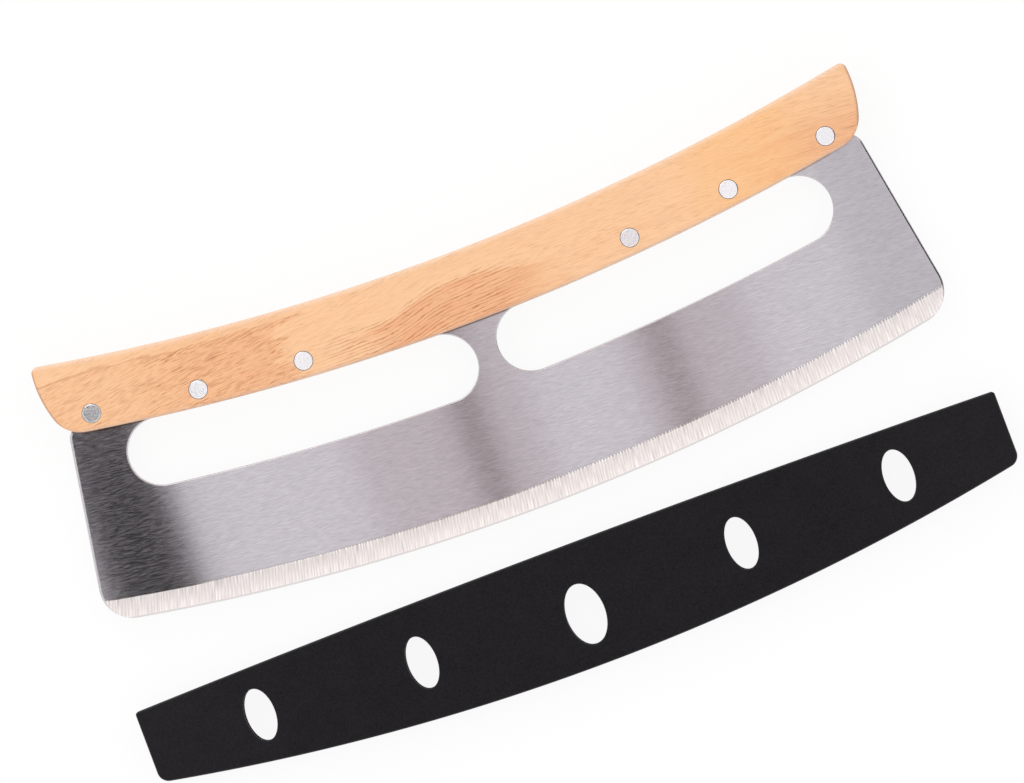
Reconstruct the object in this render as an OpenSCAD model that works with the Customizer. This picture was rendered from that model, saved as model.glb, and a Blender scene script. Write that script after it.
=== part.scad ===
// Rocking pizza knife with a push-on blade cover, lying flat.
// X runs along the knife, +Y points from the cutting edge to the handle, +Z up.
// The origin is under the middle of the whole set, on the surface that it lies on.

/* [Handle] */
// Length of the handle, end to end
handle_len = 328.8; // [322:0.2:336]
// Depth of the handle, from its hollow top edge to its lower edge
handle_depth = 27.5; // [24:0.5:32]
// Radius of the hollow top edge
handle_arc_r = 890; // [700:10:1400]
// Thickness of one wooden scale
scale_t = 8; // [6:0.5:11]
// Radius of the gentle curve of each handle end
end_r = 45; // [38:1:60]
// Height of the fullest point of an end above the middle of the top edge
end_full_y = 7.6; // [4:0.2:10]
// Radius of the upper corner of each end
tip_r = 2.6; // [2.4:0.1:5]
// Radius of the lower corner of each end
heel_r = 12.5; // [8:0.5:15]
// Radius of the rolled outer edge of a scale
roll_r = 1.4; // [1:0.1:2.4]

/* [Blade] */
// Overall length of the blade, at its lower corners
blade_len = 340; // [334:0.5:344]
// Height from the cutting edge to the top of the handle, both in the middle
blade_h = 102.2; // [96:0.2:112]
// Thickness of the sheet
blade_t = 2; // [1.2:0.1:3]
// Radius of the cutting edge's rocking curve
edge_arc_r = 871.6; // [700:0.2:890]
// Radius of the two lower corners
corner_r = 13; // [6:0.5:20]
// Lean of the side edges, in degrees from upright
side_lean = 9.6; // [7:0.1:11]
// Radius of the shoulder where a side runs under the handle
shoulder_r = 6; // [3:0.5:9]
// How far the shoulder reaches up under the scales
shoulder_lap = 3.5; // [2:0.5:8]
// Width of the ground bevel
bevel_w = 8; // [5:0.5:12]
// Thickness of the steel where the bevel meets the fine edge
bevel_foot_t = 0.5; // [0.3:0.05:0.8]
// Width of the fine second bevel
fine_w = 0.7; // [0.4:0.1:1.5]
// Thickness left at the very edge
edge_t = 0.12; // [0.08:0.01:0.25]

/* [Finger slots] */
// Height of a slot, from the lower edge of the handle
slot_h = 25.8; // [20:0.2:32]
// Width of the steel web between the slots
slot_web = 9; // [6:0.5:16]
// Distance from the end of the blade back to the outer end of a slot
slot_margin = 28.3; // [24:0.1:50]
// Break of the slots' sharp edges
slot_break = 0.35; // [0.1:0.05:0.6]

/* [Rivets] */
// Distance from the end of the handle to the outermost rivet
rivet_margin = 16.6; // [15:0.1:24]
// Spacing of the three rivets on each side
rivet_pitch = 41.05; // [34:0.05:46]
// Distance from the lower edge of the handle to a rivet's centre
rivet_inset = 6.4; // [6:0.1:12]
// Diameter of a rivet head
head_d = 7; // [6.4:0.1:8]
// Thickness of a rivet head
head_t = 1.3; // [0.8:0.1:2]
// Outer diameter of the bored shank
shank_d = 4.8; // [4.2:0.1:5.6]
// Diameter of the pin in the bored shank
pin_d = 3.2; // [2.4:0.1:3.6]
// Gap between the bored shank's end and the head across from it
shank_end_gap = 1.7; // [0.8:0.1:3]
// Distance from the front face of the handle down to the pin's end
pin_stop = 5.2; // [4:0.1:8]

/* [Blade cover] */
// Depth of the cover in the middle
cover_depth = 47.1; // [40:0.1:56]
// Radius of the cover's curved bottom
cover_arc_r = 906.7; // [896:0.1:1000]
// Radius of the cover's slightly crowned open edge
mouth_arc_r = 6600; // [4000:100:12000]
// Thickness of the two side walls
cover_wall = 1.6; // [1.2:0.1:2.4]
// Thickness of the curved bottom
cover_floor = 1.8; // [1.4:0.1:2.4]
// Thickness of the two closed ends
cover_end_t = 1.6; // [1.2:0.1:2.4]
// Radius of the two bottom corners
cover_corner_r = 4.5; // [3:0.5:8]
// Radius of the two corners at the open edge
mouth_corner_r = 1.3; // [1:0.1:3]
// Rounding of the cover's outer edges
cover_roll = 0.8; // [0.4:0.1:0.9]
// Spacing of the windows
window_pitch = 64.4; // [50:0.2:68]
// Width of the four outer windows
window_w = 11.5; // [8:0.1:14]
// Height of the four outer windows
window_h = 20.5; // [14:0.1:22]
// Width of the middle window
mid_window_w = 15; // [10:0.1:20]
// Height of the middle window
mid_window_h = 23.8; // [16:0.1:27]
// How far the middle window sits below the cover's middle line
mid_window_drop = 3.5; // [0:0.1:5]
// Space between the cutting edge and the cover that lies beside it
cover_apart = 16.4; // [5:0.2:40]
// How far the cover is pushed on: 0 beside the blade, 1 home
cover_on = 0; // [0:0.1:1]

/* [Fits] */
// Gap between the blade and each wall of the cover
blade_gap = 0.3; // [0.25:0.05:0.5]
// Gap between each end of the blade and the closed end of the cover
end_gap = 1.7; // [0.5:0.1:3]
// Gap left between the cutting edge and the cover's bottom when home
seat_gap = 0.4; // [0.3:0.1:1]
// Radial gap round a rivet's shank
shank_gap = 0.1; // [0.05:0.05:0.2]
// Radial gap round a rivet's head
head_gap = 0.08; // [0.04:0.02:0.2]
// Radial gap between the pin and the bored shank
pin_gap = 0.02; // [0.01:0.01:0.06]
// Gap between the pin's end and the bottom of the bore
pin_end_gap = 0.5; // [0.2:0.1:1]

/* [Hidden] */

// Segments of a long arc, of the rolled edge and of small rounds
long_steps = 22;
roll_steps = 4;
tip_steps = 5;
end_steps = 8;
round_steps = 9;
// Smoothness of whole circles: the long arcs and the small bores
arc_fn = 900;
bore_fn = 64;
// Overshoot of every cut past the face that it opens
past = 1;

// Heights of the layers: rear scale, blade, front scale
blade_z = scale_t;
front_z = scale_t + blade_t;
handle_t = 2 * scale_t + blade_t;
mid_z = handle_t / 2;

// The handle's edges and the slots share one centre
handle_c = [0, handle_arc_r];
lower_arc_r = handle_arc_r + handle_depth;
slot_r = slot_h / 2;
slot_arc_r = lower_arc_r + slot_r;
slot_inner_x = slot_web / 2 + slot_r;
slot_outer_x = blade_len / 2 - slot_margin - slot_r;
rivet_arc_r = lower_arc_r - rivet_inset;
rivet_out = handle_len / 2 - rivet_margin;
rivet_xs = [
    for (k = [0 : 2]) -rivet_out + k * rivet_pitch,
    for (k = [2 : -1 : 0]) rivet_out - k * rivet_pitch
];

// The cutting edge has its own centre
edge_c = [0, edge_arc_r - blade_h];
corner_c = [
    blade_len / 2 - corner_r,
    edge_c.y - sqrt(pow(edge_arc_r - corner_r, 2) - pow(blade_len / 2 - corner_r, 2))
];

// The cover's curves
channel_t = blade_t + 2 * blade_gap;
cover_t = channel_t + 2 * cover_wall;
cover_len = blade_len + 2 * (end_gap + cover_end_t);
cover_z = mid_z - cover_t / 2;
mouth_y = -blade_h - cover_apart;
cover_low = mouth_y - cover_depth;
cover_c = [0, cover_low + cover_arc_r];
mouth_c = [0, mouth_y - mouth_arc_r];
inner_arc_r = cover_arc_r - cover_floor;

// The cover comes home when its bottom meets the edge's middle or the blade's corners
travel_middle = -blade_h - (cover_low + cover_floor);
travel_corner = corner_c.y - cover_c.y + sqrt(pow(inner_arc_r - corner_r, 2) - pow(corner_c.x, 2));
cover_travel = min(travel_middle, travel_corner) - seat_gap;

// Angle of a vector, and a vector's point at an angle
function heading(v) = atan2(v.y, v.x);
function ahead(a) = [cos(a), sin(a)];

// The right-hand crossing of two circles, seen from the first centre towards the second
function crossing(c1, r1, c2, r2) =
    let (d = norm(c2 - c1), u = (c2 - c1) / d, a = (r1 * r1 - r2 * r2 + d * d) / (2 * d))
    c1 + a * u + sqrt(r1 * r1 - a * a) * [-u.y, u.x];

// Stations on an arc: place and outward normal. facing is -1 on a hollow edge
function arc_run(c, r, a0, a1, steps, facing = 1) = [
    for (i = [0 : steps]) let (n = ahead(a0 + (a1 - a0) * i / steps)) [c + r * n, facing * n]
];

// Runs joined end to end, without the station that each shares with the one before
function joined(runs) = [
    for (k = [0 : len(runs) - 1], i = [(k == 0 ? 0 : 1) : len(runs[k]) - 1]) runs[k][i]
];

// Right half of an outline, from the top middle to the bottom middle, completed by its mirror image
// last is 1 where the half starts on the middle line, and 0 where it doesn't
function whole(half, last = 1) = concat(half, [
    for (i = [len(half) - 2 : -1 : last]) [[-half[i][0].x, half[i][0].y], [-half[i][1].x, half[i][1].y]]
]);
function places(outline) = [for (s = outline) s[0]];

// Right half of the handle's outline
function handle_half() =
    let (
        end_c = [handle_len / 2 - end_r, end_full_y],
        tip_c = crossing(handle_c, handle_arc_r + tip_r, end_c, end_r - tip_r),
        heel_c = crossing(handle_c, lower_arc_r - heel_r, end_c, end_r - heel_r),
        top_a = heading(tip_c - handle_c),
        tip_a = heading(tip_c - end_c),
        heel_a = heading(heel_c - end_c),
        low_a = heading(heel_c - handle_c)
    )
    joined([
        arc_run(handle_c, handle_arc_r, -90, top_a, long_steps, -1),
        arc_run(tip_c, tip_r, top_a + 180, tip_a, tip_steps),
        arc_run(end_c, end_r, tip_a, heel_a, end_steps),
        arc_run(heel_c, heel_r, heel_a, low_a, round_steps),
        arc_run(handle_c, lower_arc_r, low_a, -90, long_steps)
    ]);

// Right half of the steel below the handle: shoulder, leaning side, lower corner, cutting edge
function plate_half() =
    let (
        n = ahead(side_lean),
        up = ahead(side_lean + 90),
        start = corner_c + (corner_r - shoulder_r) * n - handle_c,
        reach = lower_arc_r - shoulder_lap + shoulder_r,
        rise = -start * up - sqrt(pow(start * up, 2) - start * start + reach * reach),
        shoulder_c = handle_c + start + rise * up,
        edge_a = heading(corner_c - edge_c)
    )
    joined([
        arc_run(shoulder_c, shoulder_r, heading(handle_c - shoulder_c), side_lean, round_steps),
        arc_run(corner_c, corner_r, side_lean, edge_a, round_steps),
        arc_run(edge_c, edge_arc_r, edge_a, -90, long_steps)
    ]);

// Right half of the cover's outline: crowned mouth, straight end, curved bottom
function cover_half() =
    let (
        mouth_x = cover_len / 2 - mouth_corner_r,
        low_x = cover_len / 2 - cover_corner_r,
        top_c = [mouth_x, mouth_c.y + sqrt(pow(mouth_arc_r - mouth_corner_r, 2) - mouth_x * mouth_x)],
        low_c = [low_x, cover_c.y - sqrt(pow(cover_arc_r - cover_corner_r, 2) - low_x * low_x)]
    )
    joined([
        arc_run(mouth_c, mouth_arc_r, 90, heading(top_c - mouth_c), long_steps),
        arc_run(top_c, mouth_corner_r, heading(top_c - mouth_c), 0, tip_steps),
        arc_run(low_c, cover_corner_r, 0, heading(low_c - cover_c), round_steps),
        arc_run(cover_c, cover_arc_r, heading(low_c - cover_c), -90, long_steps)
    ]);

// Height at x on the arc below or above a centre
function below(c, r, x) = c.y - sqrt(r * r - x * x);
function above(c, r, x) = c.y + sqrt(r * r - x * x);

// The tips of the handle are the highest point and the cover's bottom is the lowest
tip_y = max([for (p = places(handle_half())) p.y]);
origin_y = (tip_y + cover_low) / 2;

// A plate of the given outline, each long edge rolled over to its own radius
// The layers are [inset, height] pairs from the lower face to the upper
module rolled_plate(half, z0, z1, low_roll, high_roll) {
    outline = whole(half);
    m = len(half);
    n = len(outline);
    layers = [
        if (low_roll > 0)
            for (i = [roll_steps : -1 : 1])
                let (a = i * 90 / roll_steps)
                [low_roll * (1 - cos(a)), z0 + low_roll * (1 - sin(a))],
        [0, z0 + low_roll],
        [0, z1 - high_roll],
        if (high_roll > 0)
            for (i = [1 : roll_steps])
                let (a = i * 90 / roll_steps)
                [high_roll * (1 - cos(a)), z1 - high_roll * (1 - sin(a))]
    ];
    top = len(layers) - 1;
    points = [for (l = layers, s = outline) [each (s[0] - l[0] * s[1]), l[1]]];
    // The faces are closed by strips from the top edge down to the bottom edge
    strips = [
        for (i = [0 : ceil(m / 2) - 1])
            let (a = i, b = i + 1, c = m - 2 - i, d = m - 1 - i)
            if (b <= c) b == c ? [a, b, d] : [a, b, c, d]
    ];
    mirrored = [for (s = strips) [for (i = [len(s) - 1 : -1 : 0]) (n - s[i]) % n]];
    caps = concat(strips, mirrored);
    polyhedron(
        points = points,
        faces = [
            for (s = caps) [for (i = [len(s) - 1 : -1 : 0]) s[i]],
            for (s = caps) [for (i = s) i + top * n],
            for (l = [0 : top - 1], i = [0 : n - 1])
                let (a = l * n + i, b = l * n + (i + 1) % n)
                each [[a, b, b + n], [a, b + n, a + n]]
        ]
    );
}

// Cutter for one face of the ground edge, swept along the rocking curve
// Its section follows the wide bevel and then the fine one, out to the very edge
module bevel_cut() {
    span = asin((blade_len / 2 + past) / edge_arc_r);
    translate([each edge_c, mid_z])
        rotate_extrude(angle = 2 * span, start = -90 - span, $fn = arc_fn)
            polygon([
                [edge_arc_r - bevel_w, blade_t / 2],
                [edge_arc_r - fine_w, bevel_foot_t / 2],
                [edge_arc_r, edge_t / 2],
                [edge_arc_r + past, edge_t / 2],
                [edge_arc_r + past, blade_t / 2 + past],
                [edge_arc_r - bevel_w, blade_t / 2 + past]
            ]);
}

// Section of a slot's cutter, flared at the two faces
// spool is true for the round ends, where only the outer half is spun
module slot_section(spool) {
    wide = slot_r + slot_break + past;
    polygon([
        each (spool ? [[0, -blade_t / 2 - past], [0, blade_t / 2 + past]] : [
            [-wide, -blade_t / 2 - past],
            [-slot_r, -blade_t / 2 + slot_break],
            [-slot_r, blade_t / 2 - slot_break],
            [-wide, blade_t / 2 + past]
        ]),
        [wide, blade_t / 2 + past],
        [slot_r, blade_t / 2 - slot_break],
        [slot_r, -blade_t / 2 + slot_break],
        [wide, -blade_t / 2 - past]
    ]);
}

// Cutter for the right-hand finger slot: a ring sector and a half round at each end
// They are drawn from the slot's inner end, which lies on the X axis here, and overlap by a hair
module slot_cut() {
    inner_a = asin(slot_inner_x / slot_arc_r);
    span = asin(slot_outer_x / slot_arc_r) - inner_a;
    hair = 0.0001;
    translate([each handle_c, mid_z])
        rotate([0, 0, inner_a - 90]) {
            rotate_extrude(angle = span + 2 * hair, start = -hair, $fn = arc_fn)
                translate([slot_arc_r, 0])
                    slot_section(false);
            translate([slot_arc_r, 0, 0])
                rotate_extrude(angle = 180, start = 180, $fn = bore_fn)
                    slot_section(true);
            rotate([0, 0, span])
                translate([slot_arc_r, 0, 0])
                    rotate_extrude(angle = 180, $fn = bore_fn)
                        slot_section(true);
        }
}

// Places a rivet, or its hole, at its station on the handle: 0 is the leftmost
module at_rivet(i) {
    translate([rivet_xs[i], below(handle_c, rivet_arc_r, rivet_xs[i]), 0])
        children();
}

// Through hole for the rivets' shanks
module shank_holes() {
    for (i = [0 : len(rivet_xs) - 1])
        at_rivet(i)
            translate([0, 0, -past])
                cylinder(d = shank_d + 2 * shank_gap, h = handle_t + 2 * past, $fn = bore_fn);
}

// Seats for the rivets' heads, sunk from height z0 to z1
module head_seats(z0, z1) {
    for (i = [0 : len(rivet_xs) - 1])
        at_rivet(i)
            translate([0, 0, z0])
                cylinder(d = head_d + 2 * head_gap, h = z1 - z0, $fn = bore_fn);
}

// Stainless sheet: full tang between the scales, finger slots, web, and the ground rocking edge
module blade() {
    color("silver")
        difference() {
            translate([0, 0, blade_z])
                linear_extrude(blade_t) {
                    polygon(places(whole(handle_half())));
                    polygon(places(whole(plate_half(), 0)));
                }
            bevel_cut();
            translate([0, 0, 2 * mid_z])
                mirror([0, 0, 1])
                    bevel_cut();
            slot_cut();
            mirror([1, 0, 0])
                slot_cut();
            shank_holes();
        }
}

// Wooden scale on the front of the tang
module front_scale() {
    color("burlywood")
        difference() {
            rolled_plate(handle_half(), front_z, handle_t, 0, roll_r);
            shank_holes();
            head_seats(handle_t - head_t, handle_t + past);
        }
}

// Wooden scale on the back of the tang, the one that the knife lies on
module rear_scale() {
    color("burlywood")
        difference() {
            rolled_plate(handle_half(), 0, blade_z, roll_r, 0);
            shank_holes();
            head_seats(-past, head_t);
        }
}

// Front half of a rivet: flush head and bored shank
module rivet_socket(i) {
    shank_low = head_t + shank_end_gap;
    bore_top = handle_t - pin_stop + pin_end_gap;
    color("gainsboro")
        at_rivet(i)
            difference() {
                union() {
                    translate([0, 0, handle_t - head_t])
                        cylinder(d = head_d, h = head_t, $fn = bore_fn);
                    translate([0, 0, shank_low])
                        cylinder(d = shank_d, h = handle_t - head_t / 2 - shank_low, $fn = bore_fn);
                }
                translate([0, 0, shank_low - past])
                    cylinder(d = pin_d + 2 * pin_gap, h = bore_top - shank_low + past, $fn = bore_fn);
            }
}

// Rear half of a rivet: flush head and the pin that is pressed into the bored shank
module rivet_pin(i) {
    color("gainsboro")
        at_rivet(i) {
            cylinder(d = head_d, h = head_t, $fn = bore_fn);
            translate([0, 0, head_t / 2])
                cylinder(d = pin_d, h = handle_t - pin_stop - head_t / 2, $fn = bore_fn);
        }
}

// Room for the blade inside the cover, open at the mouth
module cover_channel() {
    half_len = blade_len / 2 + end_gap;
    translate([0, 0, cover_z + cover_wall])
        intersection() {
            translate([each cover_c, 0])
                cylinder(r = inner_arc_r, h = channel_t, $fn = arc_fn);
            translate([-half_len, cover_low, 0])
                cube([2 * half_len, cover_depth + past, channel_t]);
        }
}

// An oval window through both walls of the cover, k places from the middle one
module cover_window(k) {
    x = k * window_pitch;
    y = (above(mouth_c, mouth_arc_r, x) + below(cover_c, cover_arc_r, x)) / 2;
    w = k == 0 ? mid_window_w : window_w;
    h = k == 0 ? mid_window_h : window_h;
    drop = k == 0 ? mid_window_drop : 0;
    translate([x, y - drop, cover_z - past])
        scale([w / 2, h / 2, 1])
            cylinder(r = 1, h = cover_t + 2 * past, $fn = bore_fn);
}

// Moulded cover: two walls, closed ends and bottom, five windows
module blade_cover() {
    color([0.14, 0.13, 0.14])
        translate([0, cover_on * cover_travel, 0])
            difference() {
                rolled_plate(cover_half(), cover_z, cover_z + cover_t, cover_roll, cover_roll);
                cover_channel();
                for (k = [-2 : 2])
                    cover_window(k);
            }
}

translate([0, -origin_y, 0]) {
    blade();
    front_scale();
    rear_scale();
    for (i = [1 : 6]) {
        rivet_socket(i - 1);
        rivet_pin(i - 1);
    }
    blade_cover();
}
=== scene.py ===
import math

import bpy
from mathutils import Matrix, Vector


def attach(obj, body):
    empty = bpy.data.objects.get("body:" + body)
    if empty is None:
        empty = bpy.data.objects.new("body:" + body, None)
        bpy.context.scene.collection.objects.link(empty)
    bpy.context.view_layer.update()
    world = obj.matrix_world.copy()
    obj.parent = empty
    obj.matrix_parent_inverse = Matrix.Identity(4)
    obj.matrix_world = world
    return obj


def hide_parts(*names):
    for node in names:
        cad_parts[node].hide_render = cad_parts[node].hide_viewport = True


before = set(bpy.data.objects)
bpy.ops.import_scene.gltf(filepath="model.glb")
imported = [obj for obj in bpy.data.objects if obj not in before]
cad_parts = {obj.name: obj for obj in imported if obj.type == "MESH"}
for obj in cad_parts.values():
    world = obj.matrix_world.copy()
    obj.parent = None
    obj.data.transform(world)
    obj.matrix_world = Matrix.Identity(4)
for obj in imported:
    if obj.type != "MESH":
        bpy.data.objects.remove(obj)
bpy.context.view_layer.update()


# Blade: one sheet of 2 mm stainless steel, blanked out with its full tang, two finger slots and the web
# between them. Both faces are brushed along the length, the rims below the handle are tumbled round, and the
# rocking edge is ground on both faces against a coarse wheel, which leaves a toothed line along the bevel.
sheet_low, sheet_high = 0.008, 0.010
handle_centre = Vector((0, 0.965493))
top_r, low_r = 0.890, 0.9175
end_centre, end_r = Vector((0.1194, 0.083093)), 0.045
edge_centre, edge_r = Vector((0, 0.844893)), 0.8716
straight_down = -math.pi / 2


def heading(v):
    return math.atan2(v.y, v.x)


def ahead(angle):
    return Vector((math.cos(angle), math.sin(angle)))


def crossing(c1, r1, c2, r2):
    """The right-hand crossing of two circles, seen from the first centre towards the second."""
    gap = (c2 - c1).length
    along = (c2 - c1) / gap
    reach = (r1 * r1 - r2 * r2 + gap * gap) / (2 * gap)
    return c1 + reach * along + math.sqrt(r1 * r1 - reach * reach) * Vector((-along.y, along.x))


def begin_outline(name, start, height):
    """One loose point in edit mode, which the arcs and lines are then drawn from."""
    bpy.ops.object.select_all(action="DESELECT")
    bpy.ops.mesh.primitive_plane_add(size=0.001, location=(start.x, start.y, height))
    drawn = bpy.context.object
    drawn.name = drawn.data.name = name
    bpy.ops.object.transform_apply(location=True)
    bpy.ops.object.mode_set(mode="EDIT")
    bpy.ops.mesh.select_mode(type="VERT")
    bpy.ops.mesh.select_all(action="SELECT")
    bpy.ops.mesh.merge(type="CENTER")
    return drawn


def draw_arc(centre, height, from_angle, to_angle, steps):
    bpy.ops.mesh.spin(
        steps=steps,
        angle=from_angle - to_angle,
        center=(centre.x, centre.y, height),
        axis=(0, 0, 1),
    )


def draw_line(step):
    bpy.ops.mesh.extrude_region_move(TRANSFORM_OT_translate={"value": (step.x, step.y, 0)})


def end_shape():
    """Turns all the normals outwards and leaves edit mode."""
    bpy.ops.mesh.select_all(action="SELECT")
    bpy.ops.mesh.normals_make_consistent(inside=False)
    bpy.ops.object.mode_set(mode="OBJECT")


def fill_and_raise(drawn, thickness, mirrored=True):
    """Closes the outline, with its mirror image or alone, fills it and gives it its thickness."""
    same_spot = 0.00001
    if mirrored:
        bpy.ops.object.mode_set(mode="OBJECT")
        twin = drawn.modifiers.new("other_half", "MIRROR")
        twin.merge_threshold = same_spot
        bpy.ops.object.modifier_apply(modifier=twin.name)
        bpy.ops.object.mode_set(mode="EDIT")
    bpy.ops.mesh.select_all(action="SELECT")
    bpy.ops.mesh.remove_doubles(threshold=same_spot)
    bpy.ops.mesh.edge_face_add()
    bpy.ops.mesh.extrude_region_move(TRANSFORM_OT_translate={"value": (0, 0, thickness)})
    end_shape()


def select_only(body):
    bpy.ops.object.select_all(action="DESELECT")
    body.select_set(True)
    bpy.context.view_layer.objects.active = body


def cut_away(body, *tools):
    """Takes each tool's shape out of the body, then throws the tool away."""
    for tool in tools:
        select_only(body)
        cut = body.modifiers.new("cut", "BOOLEAN")
        cut.operation, cut.solver, cut.object = "DIFFERENCE", "EXACT", tool
        bpy.ops.object.modifier_apply(modifier=cut.name)
        bpy.data.objects.remove(tool)


def mirrored_copy(model, name, axis, centre=(0, 0, 0)):
    """A copy with its own mesh, mirrored about a centre along one axis."""
    select_only(model)
    bpy.ops.object.duplicate()
    twin = bpy.context.object
    twin.name = twin.data.name = name
    bpy.ops.object.mode_set(mode="EDIT")
    bpy.ops.mesh.select_all(action="SELECT")
    bpy.ops.transform.mirror(constraint_axis=axis, center_override=centre)
    end_shape()
    return twin


def round_edges(body, wanted, rounding, segments):
    """Rounds over the sharp edges whose middle and direction are wanted."""
    select_only(body)
    bpy.ops.object.mode_set(mode="EDIT")
    bpy.ops.mesh.select_mode(type="EDGE")
    bpy.ops.mesh.select_all(action="DESELECT")
    bpy.ops.mesh.edges_select_sharp(sharpness=math.radians(50))
    bpy.ops.object.mode_set(mode="OBJECT")
    points = body.data.vertices
    for edge in body.data.edges:
        a, b = (points[i].co for i in edge.vertices)
        edge.select = edge.select and wanted((a + b) / 2, (b - a).normalized())
    bpy.ops.object.mode_set(mode="EDIT")
    bpy.ops.mesh.bevel(offset=rounding, segments=segments, profile=0.5, affect="EDGES")
    bpy.ops.object.mode_set(mode="OBJECT")


def settle_shading(body):
    """Smooth over the rounds, flat on the flats."""
    select_only(body)
    bpy.ops.object.shade_smooth_by_angle(angle=math.radians(32))
    even = body.modifiers.new("even", "WEIGHTED_NORMAL")
    even.weight, even.keep_sharp = 100, True
    bpy.ops.object.modifier_apply(modifier=even.name)


tip_r, heel_r = 0.0026, 0.0125
tip_centre = crossing(handle_centre, top_r + tip_r, end_centre, end_r - tip_r)
heel_centre = crossing(handle_centre, low_r - heel_r, end_centre, end_r - heel_r)
top_end = heading(tip_centre - handle_centre)
tip_end = heading(tip_centre - end_centre)
heel_start = heading(heel_centre - end_centre)


def draw_handle_top_and_end(height):
    """The hollow top edge, the upper corner and the gentle curve of the end, shared by tang and scales."""
    draw_arc(handle_centre, height, straight_down, top_end, steps=40)
    draw_arc(tip_centre, height, top_end + math.pi, tip_end, steps=10)
    draw_arc(end_centre, height, tip_end, heel_start, steps=12)


corner_centre, corner_r = Vector((0.157, 0.000769)), 0.013
shoulder_centre, shoulder_r = Vector((0.154330, 0.058530)), 0.006
side_lean = math.radians(9.6)
under_handle = crossing(heel_centre, heel_r, shoulder_centre, shoulder_r)
edge_end = heading(corner_centre - edge_centre)

blade = begin_outline("blade_sheet", handle_centre + Vector((0, -top_r)), sheet_low)
draw_handle_top_and_end(sheet_low)
draw_arc(heel_centre, sheet_low, heel_start, heading(under_handle - heel_centre), steps=8)
draw_arc(shoulder_centre, sheet_low, heading(under_handle - shoulder_centre), side_lean, steps=6)
draw_line(corner_centre + corner_r * ahead(side_lean) - shoulder_centre - shoulder_r * ahead(side_lean))
draw_arc(corner_centre, sheet_low, side_lean, edge_end, steps=20)
draw_arc(edge_centre, sheet_low, edge_end, straight_down, steps=60)
fill_and_raise(blade, sheet_high - sheet_low)

slot_arc_r, slot_r, slot_inner_x, slot_outer_x = 0.9304, 0.0129, 0.0174, 0.1288
slot_low, slot_height = 0.007, 0.004
inner_angle = math.asin(slot_inner_x / slot_arc_r) + straight_down
outer_angle = math.asin(slot_outer_x / slot_arc_r) + straight_down
inner_end = handle_centre + slot_arc_r * ahead(inner_angle)
outer_end = handle_centre + slot_arc_r * ahead(outer_angle)
slot = begin_outline("slot_punch", handle_centre + (slot_arc_r - slot_r) * ahead(inner_angle), slot_low)
draw_arc(handle_centre, slot_low, inner_angle, outer_angle, steps=30)
draw_arc(outer_end, slot_low, outer_angle + math.pi, outer_angle, steps=28)
draw_arc(handle_centre, slot_low, outer_angle, inner_angle, steps=30)
draw_arc(inner_end, slot_low, inner_angle, inner_angle - math.pi, steps=28)
fill_and_raise(slot, slot_height, mirrored=False)
cut_away(blade, mirrored_copy(slot, "other_slot_punch", (True, False, False)), slot)

tang_r, slots_x, slots_y, sides_x = 0.9163, 0.1425, 0.015, 0.1475


def on_open_rim(middle, way):
    """Where the rim of a face runs below the handle."""
    return abs(way.z) < 0.1 and (middle.xy - handle_centre).length > tang_r


def on_outer_rim(middle, way):
    clear_of_edge = (middle.xy - edge_centre).length < edge_r - 0.0001
    return on_open_rim(middle, way) and abs(middle.x) > sides_x and clear_of_edge


def on_slot_rim(middle, way):
    return on_open_rim(middle, way) and abs(middle.x) < slots_x and middle.y > slots_y


# The open rims are rounded over, the outer ones more than those of the slots. The tang stays square
for rim, rounding in ((on_outer_rim, 0.00098), (on_slot_rim, 0.0005)):
    round_edges(blade, rim, rounding, segments=5)

# The grinding cut: a wedge beyond the bevel's upper line, swept along the rocking curve, once for each face
bevel_w, fine_w, foot_t, keen_t = 0.008, 0.0007, 0.0005, 0.00012
half_t = (sheet_high - sheet_low) / 2
bevel_slope = (half_t - foot_t / 2) / (bevel_w - fine_w)
fine_slope = (foot_t - keen_t) / 2 / fine_w
beyond, past_corner_x = 0.0002, 0.172
wedge = (
    (edge_r - bevel_w - 3 * beyond, half_t + 3 * beyond * bevel_slope),
    (edge_r - fine_w, foot_t / 2),
    (edge_r + beyond, keen_t / 2 - beyond * fine_slope),
    (edge_r + beyond, 2 * half_t),
    (edge_r - bevel_w - 3 * beyond, 2 * half_t),
)
sweep_start = math.asin(past_corner_x / edge_r) + straight_down
for face in (1, -1):
    grind = begin_outline(
        "grinding_cut",
        edge_centre + wedge[0][0] * ahead(sweep_start),
        sheet_low + half_t + face * wedge[0][1],
    )
    for (r0, h0), (r1, h1) in zip(wedge, wedge[1:]):
        out = (r1 - r0) * ahead(sweep_start)
        bpy.ops.mesh.extrude_region_move(
            TRANSFORM_OT_translate={"value": (out.x, out.y, face * (h1 - h0))}
        )
    bpy.ops.mesh.select_all(action="SELECT")
    bpy.ops.mesh.edge_face_add()
    draw_arc(edge_centre, 0, sweep_start, -math.pi - sweep_start, steps=120)
    end_shape()
    cut_away(blade, grind)
settle_shading(blade)


def add(tree, kind, inputs=(), **settings):
    """A new node. Each input is a plain value or another node's output."""
    step = tree.nodes.new("ShaderNode" + kind)
    for key, value in settings.items():
        setattr(step, key, value)
    for key, value in dict(inputs).items():
        if isinstance(value, bpy.types.NodeSocket):
            tree.links.new(value, step.inputs[key])
        else:
            step.inputs[key].default_value = value
    return step


def new_finish(name):
    """A new material, its node tree, and the place of the shaded point in the piece's own metres."""
    made = bpy.data.materials.new(name)
    made.use_nodes = True
    return made, made.node_tree, add(made.node_tree, "TexCoord").outputs["Object"]


def coordinates(tree, place):
    """The x, y and z of a place, each by itself."""
    return add(tree, "SeparateXYZ", {0: place}).outputs


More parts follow.
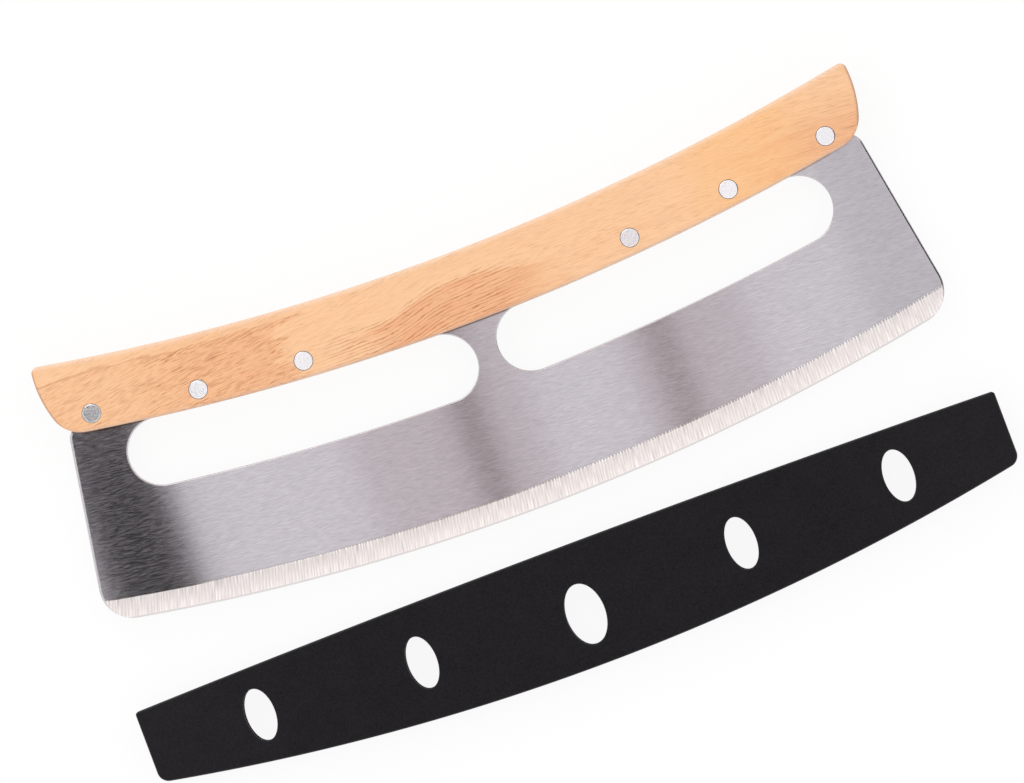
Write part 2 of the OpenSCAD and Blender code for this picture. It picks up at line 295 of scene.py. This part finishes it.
def distance_from(tree, place, centre):
    """How far the shaded point lies from a centre, in the plane of the sheet."""
    flat = add(tree, "VectorMath", {0: place, 1: (1, 1, 0)}, operation="MULTIPLY").outputs[0]
    apart = add(tree, "VectorMath", {0: flat, 1: (centre.x, centre.y, 0)}, operation="DISTANCE")
    return apart.outputs["Value"]


def work(tree, operation, *values):
    return add(tree, "Math", enumerate(values), operation=operation).outputs[0]


def rise(tree, value, low, high, to_low=0.0, to_high=1.0):
    """A smooth step from to_low to to_high as the value goes from low to high."""
    step = add(
        tree,
        "MapRange",
        {"Value": value, 1: low, 2: high, 3: to_low, 4: to_high},
        interpolation_type="SMOOTHSTEP",
    )
    return step.outputs[0]


def grains(tree, place, fineness, detail=2.0):
    """Noise that is alike in all directions, with this many grains to the metre."""
    return add(tree, "TexNoise", {"Vector": place, "Scale": fineness, "Detail": detail}).outputs[0]


def streaks(tree, place, length, width, detail=2.0, turn=0.0, seed=0.0):
    """Noise in streaks of this length and width, along X or turned from it by so many degrees."""
    laid = add(
        tree,
        "Mapping",
        {
            "Vector": place,
            "Location": (seed, seed, 0),
            "Rotation": (0, 0, math.radians(turn)),
            "Scale": (length, width, width),
        },
        vector_type="TEXTURE",
    ).outputs[0]
    return grains(tree, laid, 1.0, detail)


def between(tree, share, first, second):
    """A colour between two others."""
    return add(tree, "Mix", {0: share, 6: first, 7: second}, data_type="RGBA").outputs[2]


def toned(tree, colour, *changes):
    """A colour made lighter or darker by each pair of a noise and its strength."""
    level = 1.0
    for noise, strength in changes:
        level = work(tree, "MULTIPLY_ADD", work(tree, "SUBTRACT", noise, 0.5), strength, level)
    return add(tree, "VectorMath", {0: colour, "Scale": level}, operation="SCALE").outputs[0]


def raised(tree, height, depth, strength=1.0):
    return add(tree, "Bump", {"Height": height, "Distance": depth, "Strength": strength}).outputs[0]


def paint(tree, **inputs):
    """Sets or links the sockets of the material's own shader."""
    shader = tree.nodes["Principled BSDF"]
    for key, value in inputs.items():
        socket = shader.inputs[key.replace("_", " ")]
        if isinstance(value, bpy.types.NodeSocket):
            tree.links.new(value, socket)
        else:
            socket.default_value = value


def wheel_marks(tree, place):
    """The strokes of the grinding wheel across the rocking curve, and the toothed line where they end."""
    slant, strokes_in_m, fades_in_m, tooth_w = 0.16, 4200.0, 150.0, 0.00125
    mean_jag, line_r = 0.39, edge_r - bevel_w - 0.0004
    x, y = coordinates(tree, place)[:2]
    across = distance_from(tree, place, edge_centre)
    around = work(tree, "ARCTAN2", x, work(tree, "SUBTRACT", edge_centre.y, y))
    aslant = work(tree, "MULTIPLY_ADD", across, slant, work(tree, "MULTIPLY", around, edge_r))
    laid = add(
        tree,
        "CombineXYZ",
        {0: work(tree, "MULTIPLY", aslant, strokes_in_m), 1: work(tree, "MULTIPLY", across, fades_in_m)},
    ).outputs[0]
    strokes = grains(tree, laid, 1.0)
    uneven = grains(tree, laid, 0.07, 1.0)
    tooth_count = work(tree, "MULTIPLY_ADD", uneven, 1.4, work(tree, "DIVIDE", aslant, tooth_w))
    tooth = work(tree, "PINGPONG", tooth_count, 0.5)
    jag = work(tree, "MULTIPLY_ADD", strokes, 0.28, tooth)

    # The teeth reach further up towards the right
    bite = rise(tree, x, -0.13, 0.14, 0.0009, 0.003)
    upper = work(tree, "MULTIPLY_ADD", work(tree, "SUBTRACT", mean_jag, jag), bite, line_r)
    stroked = toned(tree, (0.922, 0.851, 0.833), (strokes, 1.0), (tooth, 0.34))
    return across, strokes, upper, stroked


ground, tree, place = new_finish("ground_steel")
across, strokes, _, stroked = wheel_marks(tree, place)
keen, keen_grey = work(tree, "GREATER_THAN", across, edge_r - fine_w), (0.66, 0.63, 0.62, 1)
paint(
    tree,
    Base_Color=between(tree, keen, stroked, keen_grey),
    Metallic=1.0,
    Roughness=rise(tree, strokes, 0.3, 0.7, 0.28, 0.38),
    Normal=raised(tree, strokes, 0.00002),
)

brushed, tree, place = new_finish("brushed_steel")
across, _, upper, stroked = wheel_marks(tree, place)
brush_turn, across_brush = -5, {0: 0.087, 1: 0.996}
brush = streaks(tree, place, 0.0032, 0.00024, turn=brush_turn)
scratches = streaks(tree, place, 0.0032, 0.00031, turn=brush_turn, seed=2.3)
soft_brush = streaks(tree, place, 0.014, 0.0011, turn=brush_turn, seed=1.5)
face = toned(tree, (0.572, 0.535, 0.575), (brush, 0.6), (soft_brush, 0.1))

# The wheel throws up a fine burr along the toothed line. Its shade is painted in as a dark grey line on the
# face side of the teeth
burr_shade_w, burr_shade_grey, joint_shade_brown = 0.00028, (0.36, 0.34, 0.345, 1), (0.09, 0.065, 0.06, 1)
burr_shade = work(tree, "GREATER_THAN", across, work(tree, "SUBTRACT", upper, burr_shade_w))
face_and_painted_shade = between(tree, burr_shade, face, burr_shade_grey)

# Painted shade: a fine dark line in the corner under the handle, fainter on the right, stands in for the
# handle's contact shadow on the steel
x = coordinates(tree, place)[0]
below_handle = work(tree, "SUBTRACT", distance_from(tree, place, handle_centre), low_r)
joint_shade = rise(tree, below_handle, 0.0001, 0.0008, 1.0, 0.0)
joint_shade = work(tree, "MULTIPLY", joint_shade, rise(tree, x, 0.0, 0.09, 0.75, 0.3))
joint_shade = work(tree, "MULTIPLY", joint_shade, rise(tree, work(tree, "ABSOLUTE", x), 0.145, 0.152, 1.0, 0.0))
face_and_painted_shade = between(tree, joint_shade, face_and_painted_shade, joint_shade_brown)
reached = work(tree, "GREATER_THAN", across, upper)
paint(
    tree,
    Base_Color=between(tree, reached, face_and_painted_shade, stroked),
    # The open scratches scatter a little light of their own, which shows where the mirror image is dark
    Metallic=rise(tree, scratches, 0.42, 0.66, 1.0, 0.94),
    Roughness=rise(tree, scratches, 0.3, 0.7, 0.105, 0.138),
    Anisotropic=0.9,
    Tangent=add(tree, "CombineXYZ", across_brush).outputs[0],
    Normal=raised(tree, brush, 0.0000012),
)

tumbled, tree, place = new_finish("tumbled_steel_rim")
pits = grains(tree, place, 2500.0)
paint(
    tree,
    Base_Color=toned(tree, (0.6, 0.57, 0.59), (pits, 0.3)),
    Metallic=1.0,
    Roughness=rise(tree, pits, 0.3, 0.7, 0.2, 0.32),
    Normal=raised(tree, pits, 0.00001),
)

for metal in (brushed, ground, tumbled):
    blade.data.materials.append(metal)
# The ground flats lean a little and the rims much more
for patch in blade.data.polygons:
    radius = (patch.center.xy - edge_centre).length
    tilt = abs(patch.normal.z)
    if radius > edge_r - bevel_w and 0.9 < tilt < 0.9995:
        patch.material_index = 1
    elif tilt < 0.98:
        patch.material_index = 2
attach(blade, "knife")
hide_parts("blade")


# Handle scales: two slips of light oiled rubberwood, sawn to the tang's outline and rolled over along their
# outer edge. Each is bored for six rivets and counterbored for their heads. The rear one is the same piece
# turned over.
scale_low, scale_high, rolled_r, middle_z = 0.010, 0.018, 0.0014, 0.009
low_end = heading(heel_centre - handle_centre)
front_scale = begin_outline("front_scale_wood", handle_centre + Vector((0, -top_r)), scale_low)
draw_handle_top_and_end(scale_low)
draw_arc(heel_centre, scale_low, heel_start, low_end, steps=16)
draw_arc(handle_centre, scale_low, low_end, straight_down, steps=40)
fill_and_raise(front_scale, scale_high - scale_low)
round_edges(front_scale, lambda middle, way: middle.z > scale_high - 0.0001, rolled_r, segments=8)

rivet_arc_r = 0.9111
rivet_places = [
    Vector((x, handle_centre.y - math.sqrt(rivet_arc_r**2 - x * x), 0))
    for x in (-0.1478, -0.10675, -0.0657, 0.0657, 0.10675, 0.1478)
]


def begin_turned(name, radius, height):
    """A round face in edit mode, ready to be drawn up into a turned piece on the Z axis."""
    bpy.ops.object.select_all(action="DESELECT")
    bpy.ops.mesh.primitive_circle_add(
        vertices=64, radius=radius, fill_type="NGON", location=(0, 0, height)
    )
    turned = bpy.context.object
    turned.name = turned.data.name = name
    bpy.ops.object.transform_apply(location=True)
    bpy.ops.object.mode_set(mode="EDIT")
    bpy.ops.mesh.select_mode(type="FACE")
    bpy.ops.mesh.select_all(action="SELECT")
    return turned


def draw_up(radius, *steps):
    """Draws the round face on from its radius. Each step is how far up and the radius it ends with."""
    for height, end_radius in steps:
        ratio = end_radius / radius
        bpy.ops.mesh.extrude_region_move(TRANSFORM_OT_translate={"value": (0, 0, height)})
        bpy.ops.transform.resize(value=(ratio, ratio, 1), center_override=(0, 0, 0))
        radius = end_radius


def copy_to(model, spot, name):
    """A copy of a piece with its own mesh, moved to its place."""
    select_only(model)
    bpy.ops.object.duplicate()
    made = bpy.context.object
    made.name = made.data.name = name
    bpy.ops.transform.translate(value=spot)
    bpy.ops.object.transform_apply(location=True)
    return made


hole_r, seat_r, seat_rim_r = 0.0025, 0.00358, 0.00373
drill = begin_turned("stepped_drill", hole_r, scale_low - 0.001)
draw_up(
    hole_r,
    (0.0077, hole_r),
    (0, seat_r),
    (0.00115, seat_r),
    (0.00015, seat_rim_r),
    (0.001, seat_rim_r),
)
end_shape()
drills = [copy_to(drill, spot, "drill") for spot in rivet_places]
bpy.data.objects.remove(drill)
cut_away(front_scale, *drills)
settle_shading(front_scale)
rear_scale = mirrored_copy(front_scale, "rear_scale_wood", (False, False, True), (0, 0, middle_z))
settle_shading(rear_scale)


def wood(name, side, seed):
    """Light wood, warmer and crowded with pores towards the ends, with a shoulder of dark lines between."""
    made, tree, place = new_finish(name)
    x, y, z = coordinates(tree, place)
    x = work(tree, "MULTIPLY", x, side)

    # Below the face the growth rings run back at a slant, so that the edges show them end to end
    below_face = work(tree, "MULTIPLY_ADD", z, -side, scale_high if side > 0 else 0.0)
    slanted = work(tree, "MULTIPLY_ADD", below_face, -1.2, y)

    # They rise through the face over a steep shoulder, then slowly. The warm zone under them falls off again
    shoulder_h, ring_w = 0.0072, 0.00125
    shoulder = work(
        tree,
        "ADD",
        rise(tree, x, -0.036, -0.005, 0.0, 0.8),
        rise(tree, x, -0.012, 0.026, 0.0, 0.2),
    )
    ring = work(tree, "MULTIPLY_ADD", shoulder, -shoulder_h, slanted)
    arch = work(tree, "MULTIPLY", shoulder, rise(tree, x, -0.006, 0.044, 1.0, 0.0))
    zone_ring = work(tree, "MULTIPLY_ADD", arch, -shoulder_h, slanted)

    # Away from the shoulder the grain runs a little uphill at the left end and downhill at the right
    bow = work(tree, "MULTIPLY_ADD", work(tree, "MULTIPLY", x, x), -0.39, work(tree, "MULTIPLY", x, 0.0386))
    lift = work(tree, "MULTIPLY", shoulder, rise(tree, ring, 0.0594, 0.0684, shoulder_h, 0.0024))
    across_grain = work(tree, "SUBTRACT", work(tree, "SUBTRACT", slanted, bow), lift)
    grain = add(tree, "CombineXYZ", {0: work(tree, "ADD", x, seed), 1: across_grain, 2: z}).outputs[0]
    flow = add(tree, "CombineXYZ", {0: x, 1: ring}).outputs[0]
    tone = streaks(tree, grain, 0.03, 0.004)
    bands = streaks(tree, grain, 0.09, 0.0014, 3.0, seed=0.5)
    fibres = streaks(tree, grain, 0.008, 0.0003, 3.0, seed=0.9)
    wander = work(tree, "SUBTRACT", work(tree, "MULTIPLY_ADD", fibres, 0.35, tone), 0.675)
    shifted = work(tree, "MULTIPLY_ADD", wander, 0.05, x)
    reach = distance_from(tree, place, handle_centre)
    below_top = work(tree, "SUBTRACT", reach, top_r)

    # A warm zone runs from the left end to the second rivet, under a paler strip along the top
    strip = work(
        tree,
        "MAXIMUM",
        work(tree, "MULTIPLY_ADD", wander, 0.002, work(tree, "SUBTRACT", slanted, 0.0819)),
        work(tree, "MULTIPLY_ADD", wander, 0.006, work(tree, "SUBTRACT", 0.0046, below_top)),
    )
    left = work(
        tree,
        "MULTIPLY",
        rise(tree, shifted, -0.073, -0.064, 1.0, 0.0),
        rise(tree, x, -0.137, -0.095, 0.42, 1.0),
    )
    left = work(tree, "MULTIPLY", left, rise(tree, strip, -0.0001, 0.0011, 0.5, 0.12))

    # Another lies low at the right, and one in patches under the arch
    low_half = work(tree, "MULTIPLY_ADD", wander, 0.015, across_grain)
    low_half = rise(tree, low_half, 0.066, 0.085, 0.42, 0.02)
    right = work(tree, "MULTIPLY", rise(tree, shifted, 0.11, 0.142), low_half)
    under_arch = work(
        tree,
        "MULTIPLY",
        rise(tree, work(tree, "MULTIPLY_ADD", wander, 0.002, zone_ring), 0.058, 0.0598, 0.62, 0.0),
        rise(tree, work(tree, "ABSOLUTE", work(tree, "ADD", shifted, 0.007)), 0.019, 0.05, 1.0, 0.0),
    )
    patches = rise(tree, streaks(tree, flow, 0.02, 0.006, 1.0, seed=0.8), 0.35, 0.6, 0.85, 1.1)
    under_arch = work(tree, "MULTIPLY", under_arch, patches)
    warmth = work(tree, "MAXIMUM", work(tree, "MAXIMUM", left, right), under_arch)

    # Fine dark lines follow the rings over the shoulder
    unsteady = streaks(tree, flow, 0.016, 0.002, 1.0)
    ripples = work(tree, "MULTIPLY_ADD", unsteady, 7.0, work(tree, "MULTIPLY", ring, 2 * math.pi / ring_w))
    ripples = work(tree, "MULTIPLY_ADD", streaks(tree, flow, 0.003, 0.0012, seed=0.6), 5.0, ripples)
    lines = rise(tree, work(tree, "SINE", ripples), 0.45, 1.0, 0.0, 1.1)
    broken = rise(tree, streaks(tree, flow, 0.011, 0.0007, 1.0, seed=0.2), 0.36, 0.52, 0.05, 1.0)
    line_zone = work(
        tree,
        "MULTIPLY",
        rise(tree, x, -0.066, -0.044),
        rise(tree, x, 0.008, 0.034, 1.0, 0.12),
    )
    line_zone = work(tree, "MULTIPLY", line_zone, rise(tree, zone_ring, 0.0598, 0.0612, 1.0, 0.0))
    lines = work(tree, "MULTIPLY", lines, work(tree, "MULTIPLY", broken, line_zone))

    # One more marks the foot of the paler strip, and some run straight at the right end
    foot = rise(tree, work(tree, "ABSOLUTE", strip), 0.0001, 0.0006, 0.5, 0.0)
    foot = work(tree, "MULTIPLY", foot, rise(tree, x, -0.115, -0.088, 1.0, 0.0))
    straight = rise(tree, streaks(tree, grain, 0.017, 0.0004, 1.0, seed=1.1), 0.55, 0.68, 0.0, 0.6)
    straight = work(
        tree,
        "MULTIPLY",
        straight,
        work(tree, "MULTIPLY", rise(tree, x, 0.125, 0.15), rise(tree, across_grain, 0.072, 0.084, 1.0, 0.3)),
    )
    lines = work(tree, "MAXIMUM", work(tree, "MAXIMUM", lines, foot), straight)

    pore_noise = streaks(tree, grain, 0.0044, 0.00021, 1.0, seed=1.3)
    crowd = streaks(tree, grain, 0.016, 0.003, 1.0, seed=1.7)
    pores = work(
        tree,
        "MULTIPLY",
        rise(tree, pore_noise, 0.56, 0.605),
        work(tree, "MULTIPLY", rise(tree, crowd, 0.4, 0.6, 0.6, 1.0), rise(tree, left, 0.05, 0.4, 0.34, 1.0)),
    )

    pale, deep, gold = (0.905, 0.552, 0.32, 1), (0.815, 0.374, 0.188, 1), (0.94, 0.48, 0.14, 1)
    rim_highlight_pale, end_shade_brown = (0.88, 0.8, 0.74, 1), (0.36, 0.2, 0.13, 1)
    line_brown, pore_brown = (0.42, 0.15, 0.065, 1), (0.48, 0.18, 0.075, 1)
    base = between(tree, work(tree, "MULTIPLY_ADD", wander, 0.4, warmth), pale, deep)
    base = toned(tree, base, (bands, 0.1), (fibres, 0.16))

    # Before the last rivet on the right the wood is a little more golden
    golden = rise(tree, x, 0.084, 0.11, 0.0, 0.3)
    golden = work(tree, "MULTIPLY", golden, rise(tree, x, 0.124, 0.15, 1.0, 0.0))
    base = between(tree, golden, base, gold)

    # Painted highlight: the rolled edges are painted paler, most along the top edge where the light falls
    rim_highlight = rise(tree, below_top, 0.0002, 0.0024, 0.32, 0.0)
    rim_highlight = work(tree, "MAXIMUM", rim_highlight, rise(tree, reach, low_r - 0.0014, low_r - 0.0001, 0.0, 0.25))
    base = between(tree, rim_highlight, base, rim_highlight_pale)
    base = between(tree, work(tree, "MULTIPLY", lines, 0.62), base, line_brown)
    base = between(tree, work(tree, "MULTIPLY", pores, 0.84), base, pore_brown)

    # The rims at both ends are painted darker: partly the end grain, which has drunk more oil, and partly
    # painted shade on the end edges
    beyond_end = work(tree, "SUBTRACT", work(tree, "ABSOLUTE", x), end_centre.x)
    above_end = work(tree, "SUBTRACT", y, end_centre.y)
    out = work(tree, "MULTIPLY_ADD", beyond_end, beyond_end, work(tree, "MULTIPLY", above_end, above_end))
    end_shade = rise(tree, work(tree, "SQRT", out), end_r - 0.0011, end_r - 0.0002)
    end_shade = work(tree, "MULTIPLY", end_shade, work(tree, "GREATER_THAN", beyond_end, 0.02))
    base = between(tree, work(tree, "MULTIPLY", end_shade, 0.6), base, end_shade_brown)
    grooves = work(tree, "SUBTRACT", work(tree, "MULTIPLY", fibres, 0.4), pores)
    paint(
        tree,
        Base_Color=base,
        Roughness=rise(tree, fibres, 0.3, 0.7, 0.42, 0.55),
        Specular_IOR_Level=0.15,
        Normal=raised(tree, grooves, 0.00003, 0.6),
    )
    return made


# Painted shade: the walls of the counterbores around the rivet heads are painted dark brown, for the shade in
# the narrow gap
seat_shade, tree, place = new_finish("painted_seat_shade")
seat_shade_mottle = grains(tree, place, 1500.0)
paint(tree, Base_Color=toned(tree, (0.3, 0.23, 0.2), (seat_shade_mottle, 0.8)), Roughness=0.7)

around_seat_r = 0.0038
for scale, outward, name, seed in (
    (front_scale, 1, "front_rubberwood", 0.0),
    (rear_scale, -1, "rear_rubberwood", 0.41),
):
    scale.data.materials.append(wood(name, outward, seed))
    scale.data.materials.append(seat_shade)
    for patch in scale.data.polygons:
        nearest = min((patch.center.xy - spot.xy).length for spot in rivet_places)
        if nearest < around_seat_r and outward * patch.normal.z < 0.999:
            patch.material_index = 1
    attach(scale, "knife")
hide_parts("front_scale")
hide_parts("rear_scale")


# Rivets: six two-piece aluminium rivets. A bored shank under one flat head comes in from the front, and a
# solid pin under the other is pressed into it from behind. Both heads are finished flush with the wood.
head_r, head_edge_r, head_top_r = 0.0035, 0.00344, 0.0033
shank_r, shank_low, bore_wall, bore_depth = 0.0024, 0.003, 0.00078, 0.0103
pin_r, pin_tip_r = 0.0016, 0.0013
socket_model = begin_turned("rivet_front_model", shank_r, shank_low)
draw_up(
    shank_r,
    (0.0137, shank_r),
    (0, head_r),
    (0.0011, head_r),
    (0.00013, head_edge_r),
    (0.00007, head_top_r),
)
for inset in (0.00008, 0.0006, 0.0012):
    bpy.ops.mesh.inset(thickness=inset)
bpy.ops.object.mode_set(mode="OBJECT")
for patch in socket_model.data.polygons:
    patch.select = patch.center.z < shank_low + 0.0001 and patch.normal.z < -0.9
bpy.ops.object.mode_set(mode="EDIT")
bpy.ops.mesh.inset(thickness=bore_wall)
bpy.ops.mesh.extrude_region_move(TRANSFORM_OT_translate={"value": (0, 0, bore_depth)})
end_shape()
settle_shading(socket_model)

pin_model = begin_turned("rivet_rear_model", head_top_r, 0)
draw_up(
    head_top_r,
    (0.00007, head_edge_r),
    (0.00013, head_r),
    (0.0011, head_r),
    (0, pin_r),
    (0.0112, pin_r),
    (0.0003, pin_tip_r),
)
end_shape()
settle_shading(pin_model)

aluminium, tree, place = new_finish("faced_aluminium")
grit = grains(tree, place, 1500.0, 3.0)
facing = streaks(tree, place, 0.002, 0.0004, turn=40)
paint(
    tree,
    Base_Color=toned(tree, (0.975, 0.945, 0.975), (grit, 0.34), (facing, 0.2)),
    Metallic=1.0,
    Roughness=rise(tree, grit, 0.3, 0.7, 0.09, 0.14),
    Normal=raised(tree, grit, 0.00003),
)
for number, spot in enumerate(rivet_places, 1):
    for model, half, node in (
        (socket_model, "front", f"rivet_socket_{number}"),
        (pin_model, "rear", f"rivet_pin_{number}"),
    ):
        rivet = copy_to(model, spot, f"rivet_{number}_{half}_half")
        rivet.data.materials.append(aluminium)
        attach(rivet, "knife")
        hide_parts(node)
bpy.data.objects.remove(socket_model)
bpy.data.objects.remove(pin_model)


# Blade cover: one moulding of black polypropylene with a fine stippled face. Two thin walls, closed ends and
# a curved closed bottom make the channel that the blade slides into, and five oval windows pass through both
# walls.
cover_low_z, cover_high_z = 0.0061, 0.0119
mouth_centre, mouth_r = Vector((0, -6.643107)), 6.6
bottom_centre, bottom_r = Vector((0, 0.816493)), 0.9067
half_len, mouth_corner_r, low_corner_r = 0.1733, 0.0013, 0.0045
mouth_corner = Vector((half_len - mouth_corner_r, 0))
mouth_corner.y = mouth_centre.y + math.sqrt((mouth_r - mouth_corner_r) ** 2 - mouth_corner.x**2)
low_corner = Vector((half_len - low_corner_r, 0))
low_corner.y = bottom_centre.y - math.sqrt((bottom_r - low_corner_r) ** 2 - low_corner.x**2)
mouth_end = heading(mouth_corner - mouth_centre)
bottom_end = heading(low_corner - bottom_centre)

cover = begin_outline("moulded_cover", mouth_centre + Vector((0, mouth_r)), cover_low_z)
draw_arc(mouth_centre, cover_low_z, math.pi / 2, mouth_end, steps=24)
draw_arc(mouth_corner, cover_low_z, mouth_end, 0, steps=6)
draw_line(Vector((0, low_corner.y - mouth_corner.y)))
draw_arc(low_corner, cover_low_z, 0, bottom_end, steps=12)
draw_arc(bottom_centre, cover_low_z, bottom_end, straight_down, steps=48)
fill_and_raise(cover, cover_high_z - cover_low_z)
round_edges(cover, lambda middle, way: abs(way.z) < 0.1, rounding=0.0008, segments=4)

channel_low_z, channel_high_z, channel_half, floor_t = 0.0077, 0.0103, 0.1717, 0.0018
floor_r = bottom_r - floor_t
floor_y = bottom_centre.y - math.sqrt(floor_r**2 - channel_half**2)
floor_end = heading(Vector((channel_half, floor_y)) - bottom_centre)
above_mouth = mouth_centre.y + mouth_r + 0.001
channel = begin_outline("channel_core", Vector((0, above_mouth)), channel_low_z)
draw_line(Vector((channel_half, 0)))
draw_line(Vector((0, floor_y - above_mouth)))
draw_arc(bottom_centre, channel_low_z, floor_end, straight_down, steps=48)
fill_and_raise(channel, channel_high_z - channel_low_z)
cut_away(cover, channel)

# The middle window is the largest and lies a little lower than the others
window_gap, punch_low, punch_height = 0.0644, 0.005, 0.008
windows = []
for k in range(-2, 3):
    x = window_gap * k
    above = mouth_centre.y + math.sqrt(mouth_r**2 - x * x)
    below = bottom_centre.y - math.sqrt(bottom_r**2 - x * x)
    lowered, half_w, half_h = (0, 0.00575, 0.01025) if k else (0.0035, 0.0075, 0.0119)
    windows.append((x, (above + below) / 2 - lowered, half_w, half_h))
for x, y, half_w, half_h in windows:
    punch = begin_turned("window_punch", 1, punch_low)
    bpy.ops.transform.resize(value=(half_w, half_h, 1), center_override=(0, 0, 0))
    bpy.ops.mesh.extrude_region_move(TRANSFORM_OT_translate={"value": (0, 0, punch_height)})
    bpy.ops.mesh.select_all(action="SELECT")
    bpy.ops.transform.translate(value=(x, y, 0))
    end_shape()
    cut_away(cover, punch)


def on_window_rim(middle, way):
    on_face = min(abs(middle.z - cover_low_z), abs(middle.z - cover_high_z)) < 0.0001
    return on_face and any(
        abs(middle.x - x) < half_w + 0.0005 and abs(middle.y - y) < half_h + 0.0005
        for x, y, half_w, half_h in windows
    )


round_edges(cover, on_window_rim, rounding=0.0003, segments=3)
settle_shading(cover)

moulded, tree, place = new_finish("stippled_black")
stipple = add(tree, "TexVoronoi", {"Vector": place, "Scale": 1500.0, "Randomness": 1.0}).outputs["Distance"]
cloud = grains(tree, place, 90.0, 3.0)
speck = grains(tree, place, 1400.0)
# The mould fills last at the two ends, which come out a little greyer
greyer = rise(tree, work(tree, "ABSOLUTE", coordinates(tree, place)[0]), 0.095, 0.165, 0.5, 0.75)
paint(
    tree,
    Base_Color=toned(tree, (0.0101, 0.0087, 0.0108), (greyer, 1.0), (cloud, 0.5), (speck, 2.2)),
    Roughness=rise(tree, speck, 0.3, 0.7, 0.55, 0.75),
    Specular_IOR_Level=0.1,
    Normal=raised(tree, stipple, 0.00006, 0.7),
)

smooth_rim, tree, place = new_finish("smooth_black_rim")
wear = grains(tree, place, 700.0)
paint(
    tree,
    Base_Color=toned(tree, (0.0105, 0.0092, 0.011), (wear, 1.0)),
    Roughness=rise(tree, wear, 0.3, 0.7, 0.3, 0.42),
    Specular_IOR_Level=0.3,
)
cover.data.materials.append(moulded)
cover.data.materials.append(smooth_rim)
for patch in cover.data.polygons:
    if 0.1 < abs(patch.normal.z) < 0.98:
        patch.material_index = 1
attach(cover, "cover")
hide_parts("blade_cover")


# Table and light: a plain white table in an even white tent, and one soft lamp beyond the handle. Grey and
# dark battens of the tent show only in the polished metal, as soft bands across the blade.
bpy.ops.object.select_all(action="DESELECT")
bpy.ops.mesh.primitive_plane_add(size=8, location=(0, 0, 0))
table = bpy.context.object
table.name = "table"
table_white, tree, _ = new_finish("table_white")
ray = add(tree, "LightPath")
seen = work(tree, "MAXIMUM", ray.outputs["Is Camera Ray"], ray.outputs["Is Glossy Ray"])
plain = add(tree, "BsdfDiffuse", {"Color": (0.95, 0.95, 0.95, 1)}).outputs[0]
clear = add(tree, "Emission", {"Color": (1, 1, 1, 1), "Strength": 1.0}).outputs[0]
mixed = add(tree, "MixShader", {0: work(tree, "MULTIPLY", seen, 0.9), 1: plain, 2: clear}).outputs[0]
tree.links.new(mixed, tree.nodes["Material Output"].inputs["Surface"])
table.data.materials.append(table_white)

camera_x, camera_height, tent_height = 0.1125, 2.2, 0.672


def overhead(x):
    """Where the tent's roof is mirrored to the camera by the flat of the blade at x."""
    return x + (x - camera_x) * tent_height / camera_height


def batten(name, corner, size, level, colour=(1, 1, 1, 1)):
    """A strip of cloth that only polished metal shows. Its size has no extent along the way that it faces."""
    bpy.ops.object.select_all(action="DESELECT")
    bpy.ops.mesh.primitive_plane_add(size=1, location=(0, 0, 0))
    strip = bpy.context.object
    strip.name = name
    if size[0] == 0:
        strip.rotation_euler.y = math.pi / 2
        bpy.ops.object.transform_apply(rotation=True)
    bpy.ops.transform.resize(value=[extent or 1 for extent in size])
    bpy.ops.transform.translate(value=[c + extent / 2 for c, extent in zip(corner, size)])
    bpy.ops.object.transform_apply(location=True, scale=True)
    cloth, tree, _ = new_finish(name + "_cloth")
    glow = add(tree, "Emission", {"Color": colour, "Strength": level}).outputs[0]
    tree.links.new(glow, tree.nodes["Material Output"].inputs["Surface"])
    strip.data.materials.append(cloth)
    strip.visible_camera = strip.visible_diffuse = strip.visible_shadow = False


# Each band is given by where it falls on the blade: from, to, how far back it reaches, brightness, how far it
# hangs below the roof and its colour
front, near_black = -0.115, 0.03
white, rosy, warm, cool = (1, 1, 1, 1), (1, 0.95, 0.95, 1), (1, 0.88, 0.84, 1), (0.98, 0.99, 1, 1)
bands = (
    (-0.1688, -0.1302, 0.125, 0.0, 0, white),
    (-0.062, 0.011, 0.46, 0.83, 0, rosy),
    (-0.0195, -0.0085, 0.46, 0.35, 0.01, warm),
    (0.048, 0.098, 0.46, 0.83, 0, rosy),
    (0.0575, 0.0695, 0.46, 0.47, 0.01, warm),
    (0.140, 0.215, 0.46, 0.84, 0, cool),
)
for number, (from_x, to_x, back, level, drop, colour) in enumerate(bands, 1):
    left_end = overhead(from_x)
    batten(
        f"roof_batten_{number}",
        (left_end, front, tent_height - drop),
        (overhead(to_x) - left_end, back - front, 0),
        level,
        colour,
    )
batten("edge_panel", (-0.585, -0.52, tent_height), (1.14, 0.392, 0), 1.2)
batten("side_batten", (0.30, -0.03, 0.02), (0, 0.14, 0.27), near_black)
batten("low_batten", (0.186, -0.03, 0.001), (0.114, 0.14, 0), near_black)

world = bpy.data.worlds.new("light_tent")
bpy.context.scene.world = world
world.use_nodes = True
tent = world.node_tree.nodes["Background"]
tent.inputs["Color"].default_value = white
tent.inputs["Strength"].default_value = 1.0

bpy.ops.object.light_add(type="AREA", location=(-0.35, 1.1, 0.95))
lamp = bpy.context.object
lamp.name = "soft_lamp"
lamp.data.shape, lamp.data.size = "DISK", 0.9
lamp.data.energy = 3
lamp.data.color = (1, 0.99, 0.98)
lamp.rotation_euler = (-lamp.location).to_track_quat("-Z", "Y").to_euler()

# High above the set, a little to its right, as the photograph was taken
lens = bpy.data.cameras.new("lens")
camera = bpy.data.objects.new("camera", lens)
bpy.context.scene.collection.objects.link(camera)
camera.location = (camera_x, 0.009, camera_height)
camera.rotation_euler = (math.radians(-0.778), math.radians(2.752), math.radians(-20.6503))
lens.lens = 204.164
lens.clip_start = 0.01
bpy.context.scene.camera = camera
bpy.context.scene.view_settings.view_transform = "Standard"
